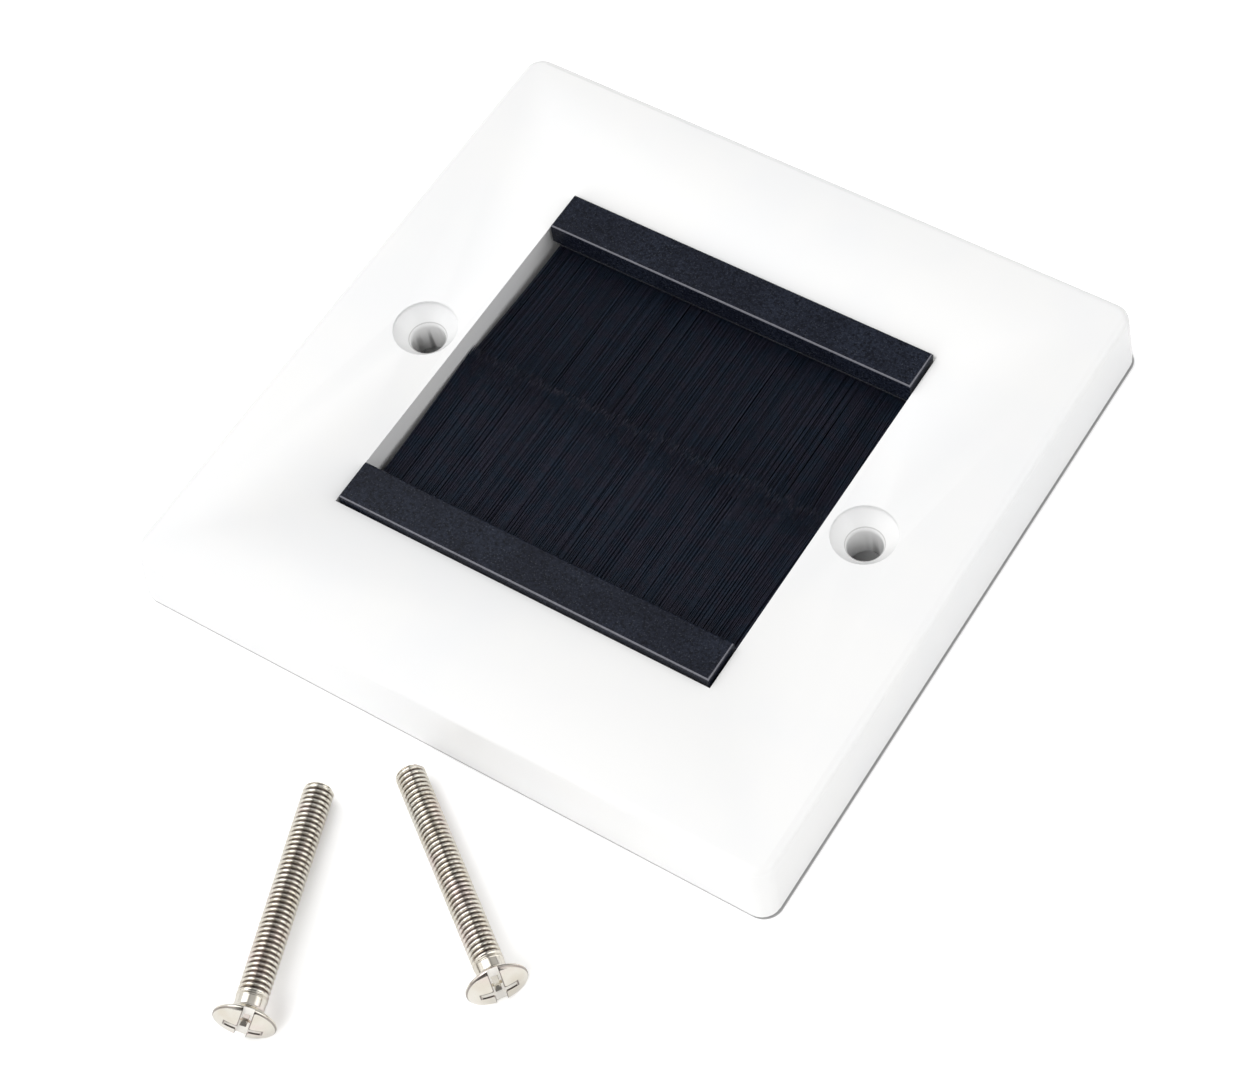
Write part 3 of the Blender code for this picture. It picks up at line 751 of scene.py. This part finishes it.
def screw_head(name):
    """The head with its recess and the plain shank, as a turned profile with cuts, and the shank's foot."""
    profile = []
    for ring in range(DOME_RINGS + 1):
        radius = SCREW_HEAD_RADIUS * SCREW_DOME_SHARE * ring / DOME_RINGS
        profile.append((radius, dome_height(radius)))
    cone_foot = -SCREW_LAND - SCREW_CONE_LENGTH
    shank_foot = cone_foot - SCREW_SHANK_LENGTH
    edge = SCREW_ROUND
    profile += [
        (SCREW_HEAD_RADIUS - 1.4 * edge, 0.4 * edge),
        (SCREW_HEAD_RADIUS - 0.4 * edge, -0.8 * edge),
        (SCREW_HEAD_RADIUS, -2.2 * edge),
        (SCREW_HEAD_RADIUS, -SCREW_LAND + edge),
        (SCREW_HEAD_RADIUS - edge, -SCREW_LAND - edge / 2),
        (SCREW_SHANK_RADIUS + 2 * edge, cone_foot + 2 * edge),
        (SCREW_SHANK_RADIUS, cone_foot - 2 * edge),
        (SCREW_SHANK_RADIUS, cone_foot - 3 * edge),
        (SCREW_SHANK_RADIUS, shank_foot + 7 * edge),
        (SCREW_SHANK_RADIUS, shank_foot + 6 * edge),
        (SCREW_SHANK_RADIUS + edge, shank_foot + 5 * edge),
        (SCREW_SHANK_RADIUS + edge, shank_foot + 3 * edge),
        (SCREW_SHANK_RADIUS - edge, shank_foot),
        (SCREW_SHANK_RADIUS - SCREW_SHANK_CHAMFER, shank_foot - SCREW_SHANK_CHAMFER),
        (0.0, shank_foot - SCREW_SHANK_CHAMFER),
    ]
    bm = bmesh.new()
    verts = [bm.verts.new((radius, 0.0, z)) for radius, z in profile]
    for upper, lower in zip(verts, verts[1:]):
        bm.edges.new((upper, lower))
    mesh = bpy.data.meshes.new(name)
    bm.to_mesh(mesh)
    bm.free()
    head = link(name, mesh)
    turned = head.modifiers.new("turn", "SCREW")
    turned.steps = turned.render_steps = HEAD_SIDES
    turned.use_merge_vertices = True
    turned.merge_threshold = 1e-7
    # Length, width and depth of each cut, and how much narrower it is at its foot
    cuts = (
        (2.4 * SCREW_HEAD_RADIUS, SCREW_SLOT_WIDTH, SCREW_SLOT_DEPTH, 1.0),
        (SCREW_CROSS_LENGTH, SCREW_CROSS_WIDTH, SCREW_CROSS_DEPTH, 0.75),
        (SCREW_CROSS_WIDTH, SCREW_CROSS_LENGTH, SCREW_CROSS_DEPTH, 0.75),
        (SCREW_DIAMOND, SCREW_DIAMOND, SCREW_DIAMOND_DEPTH, 0.5),
    )
    cutters = []
    for place, (length, width, depth, taper) in enumerate(cuts):
        cutter = tapered_block(f"{name}_cut_{place}", length, width, depth, taper)
        if length == SCREW_DIAMOND:
            cutter.data.transform(Matrix.Rotation(math.pi / 4, 4, "Z"))
        cut = head.modifiers.new(cutter.name, "BOOLEAN")
        cut.operation = "DIFFERENCE"
        cut.solver = "EXACT"
        cut.object = cutter
        cutters.append(cutter)
    bevel = head.modifiers.new("worn_edges", "BEVEL")
    bevel.width = SCREW_WORN_EDGE
    bevel.segments = 2
    bevel.limit_method = "ANGLE"
    bevel.angle_limit = math.radians(38)
    head = applied(head)
    for cutter in cutters:
        discard(cutter)
    return head, shank_foot


def tapered_block(name, length, width, depth, taper):
    """A block that reaches down into the head from above, narrower toward its foot."""
    top = SCREW_DOME + SCREW_CUT_ABOVE
    bm = bmesh.new()
    bmesh.ops.create_cube(bm, size=1.0)
    for vert in bm.verts:
        share = 1.0 if vert.co.z > 0 else taper
        z = top if vert.co.z > 0 else SCREW_DOME - depth
        vert.co = (vert.co.x * length * share, vert.co.y * width * share, z)
    mesh = bpy.data.meshes.new(name)
    bm.to_mesh(mesh)
    bm.free()
    return link(name, mesh)


def make_screws(material):
    """Both screws, each head and thread in one piece, lying on the edge of the head and on the tip."""
    tree = thread_tree()
    for side, lie in LYING_SCREWS.items():
        head, shank_foot = screw_head("fixing_screw_head_" + side)
        assign(head, material)
        start = shank_foot + SCREW_THREAD_OVERLAP
        length = SCREW_REACH + start
        thread = grown("fixing_screw_thread_" + side, tree, {
            "Length": length,
            "Crest Radius": SCREW_THREAD_RADIUS,
            "Depth": SCREW_THREAD_DEPTH,
            "Pitch": SCREW_THREAD_PITCH,
            "Run In": SCREW_THREAD_RUN_IN,
            "Chamfer": SCREW_TIP_CHAMFER,
            "Rows": round(length / SCREW_THREAD_PITCH * THREAD_ROWS_PER_TURN),
            "Sides": THREAD_SIDES,
            "Material": material,
        })
        outward(thread)
        thread.data.transform(Matrix.Translation((0.0, 0.0, start)))

        run = SCREW_REACH - SCREW_TIP_CHAMFER - SCREW_LAND
        tilt = math.atan((SCREW_HEAD_RADIUS - SCREW_THREAD_RADIUS) / run)
        rest_height = SCREW_HEAD_RADIUS * math.cos(tilt) + SCREW_LAND * math.sin(tilt)
        head_place = Vector((PLATE_MIDDLE.x + lie["across"], PLATE_LOW.y - lie["ahead"], rest_height))
        pose = (
            Matrix.Translation(head_place)
            @ Matrix.Rotation(math.radians(lie["heading"]), 4, "Z")
            @ Matrix.Rotation(math.pi / 2 - tilt, 4, "Y")
            @ Matrix.Rotation(math.radians(lie["turn"]), 4, "Z")
        )
        screw = joined("machine_screw_" + side, [head, thread])
        store_place_and_painted_dark(screw.data, shank_foot)
        screw.data.transform(pose)
        screw.data.shade_smooth()
        screw.data.set_sharp_from_angle(angle=math.radians(42))
        stands_for(screw, "fixing_screw_" + side)


def store_place_and_painted_dark(mesh, shank_foot):
    """Stores each point's place on the upright screw, and the painted dark: a dark reflection painted on
    the head's brow and shade painted at the thread's root.
    """
    own = mesh.attributes.new("own_place", "FLOAT_VECTOR", "POINT")
    for vertex in mesh.vertices:
        own.data[vertex.index].vector = vertex.co
    painted_dark_values = mesh.attributes.new("painted_dark", "FLOAT", "CORNER")
    for face in mesh.polygons:
        middle = face.center
        # The brow is the narrow ring where the dome turns over toward the land
        near_rim = math.hypot(middle.x, middle.y) > SCREW_HEAD_RADIUS - 0.0002
        on_brow = near_rim and -0.00014 < middle.z < 0.00007 and 0.25 < face.normal.z < 0.88
        for loop in face.loop_indices:
            point = mesh.vertices[mesh.loops[loop].vertex_index].co
            # Painted dark reflection on the brow, and painted shade by depth at the thread's root
            if on_brow:
                painted_dark_values.data[loop].value = BROW_DARK_REFLECTION
            elif -SCREW_REACH + SCREW_TIP_CHAMFER < point.z < shank_foot:
                depth = SCREW_THREAD_RADIUS - math.hypot(point.x, point.y)
                painted_dark_values.data[loop].value = min(max(depth / SCREW_THREAD_DEPTH, 0.0), 1.0)


def outward(piece):
    """Turns the faces of a closed mesh outward."""
    bm = bmesh.new()
    bm.from_mesh(piece.data)
    bmesh.ops.recalc_face_normals(bm, faces=bm.faces)
    bm.to_mesh(piece.data)
    bm.free()


def joined(name, pieces):
    """One piece that holds the meshes of several."""
    bm = bmesh.new()
    for piece in pieces:
        bm.from_mesh(piece.data)
    mesh = bpy.data.meshes.new(name)
    bm.to_mesh(mesh)
    bm.free()
    for material in pieces[0].data.materials:
        mesh.materials.append(material)
    for piece in pieces:
        discard(piece)
    return link(name, mesh)


def make_mouldings(white, black):
    """The white plate and the two black bars, from their solids."""
    plate = moulded_copy("faceplate", "moulded_faceplate", math.radians(40))
    assign(plate, white)
    stands_for(plate, "faceplate")
    for end in ("back", "front"):
        node = "brush_bar_" + end
        bar = moulded_copy(node, "moulded_bar_" + end, math.radians(50), BAR_EDGE)
        assign(bar, black)
        stands_for(bar, node)


def dress_steel(zinc, wire):
    """Gives the channels and wires inside the bars their metals."""
    for end in ("back", "front"):
        assign(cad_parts["strip_channel_" + end], zinc)
        assign(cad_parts["core_wire_" + end], wire)


def make_floor(material):
    """The card, just below everything that rests on it."""
    bm = bmesh.new()
    bmesh.ops.create_grid(bm, x_segments=1, y_segments=1, size=CARD_SIDE / 2)
    mesh = bpy.data.meshes.new("card")
    bm.to_mesh(mesh)
    bm.free()
    mesh.transform(Matrix.Translation((PLATE_MIDDLE.x, PLATE_MIDDLE.y, -CARD_GAP)))
    floor = link("card", mesh)
    assign(floor, material)


def make_camera():
    """A camera at the photograph's viewing angle, with its picture's middle set off by a shift."""
    away = Vector((
        -math.sin(CAMERA_AZIMUTH) * math.cos(CAMERA_ELEVATION),
        -math.cos(CAMERA_AZIMUTH) * math.cos(CAMERA_ELEVATION),
        math.sin(CAMERA_ELEVATION),
    ))
    level = (-away).cross(Vector((0.0, 0.0, 1.0))).normalized()
    upward = level.cross(-away)
    right = math.cos(CAMERA_ROLL) * level + math.sin(CAMERA_ROLL) * upward
    up = math.cos(CAMERA_ROLL) * upward - math.sin(CAMERA_ROLL) * level
    turn = Matrix((right, up, away)).transposed().to_4x4()

    data = bpy.data.cameras.new("camera")
    data.sensor_width = SENSOR_WIDTH
    data.lens = FOCAL_PIXELS * SENSOR_WIDTH / PHOTO_WIDTH
    data.shift_x = (PHOTO_WIDTH / 2 - PRINCIPAL_X) / PHOTO_WIDTH
    data.clip_start = 0.01
    camera = link("camera", data)
    place = PLATE_MIDDLE + CAMERA_TARGET + away * CAMERA_DISTANCE
    camera.matrix_world = Matrix.Translation(place) @ turn
    bpy.context.scene.camera = camera


def make_lamp(name, place, side, watts, mirrored):
    """A square lamp that faces the plate."""
    data = bpy.data.lights.new(name, "AREA")
    data.size = side
    data.energy = watts
    lamp = link(name, data)
    lamp.location = PLATE_MIDDLE + Vector(place)
    lamp.rotation_euler = (-Vector(place)).to_track_quat("-Z", "Y").to_euler()
    lamp.visible_glossy = mirrored


def make_light():
    """A dim room with bright panels round the object, and the lamps."""
    world = bpy.data.worlds.new("studio")
    world.use_nodes = True
    world.node_tree.nodes.clear()
    graph = Graph(world.node_tree)
    axes = graph.axes(graph.add("ShaderNodeTexCoord")["Generated"])
    strength = ROOM_STRENGTH
    for x, y, z, edge, power in LIGHT_PANELS:
        near = axes["X"] * x + axes["Y"] * y + axes["Z"] * z
        strength = near.spread(edge, edge + (1.0 - edge) * PANEL_FADE) * power + strength
    sockets = {"Color": (1.0, 1.0, 1.0, 1.0), "Strength": strength}
    room = graph.add("ShaderNodeBackground", None, sockets)[0]
    graph.add("ShaderNodeOutputWorld", None, {"Surface": room})
    bpy.context.scene.world = world
    for name, lamp in LAMPS.items():
        make_lamp(name, **lamp)


make_mouldings(white_plastic(), black_plastic())
make_bristles(bristle_nylon())
make_screws(nickel_plate())
dress_steel(zinc_steel(), steel_wire())
make_floor(white_card())
make_camera()
make_light()

bpy.context.scene.view_settings.view_transform = "Standard"
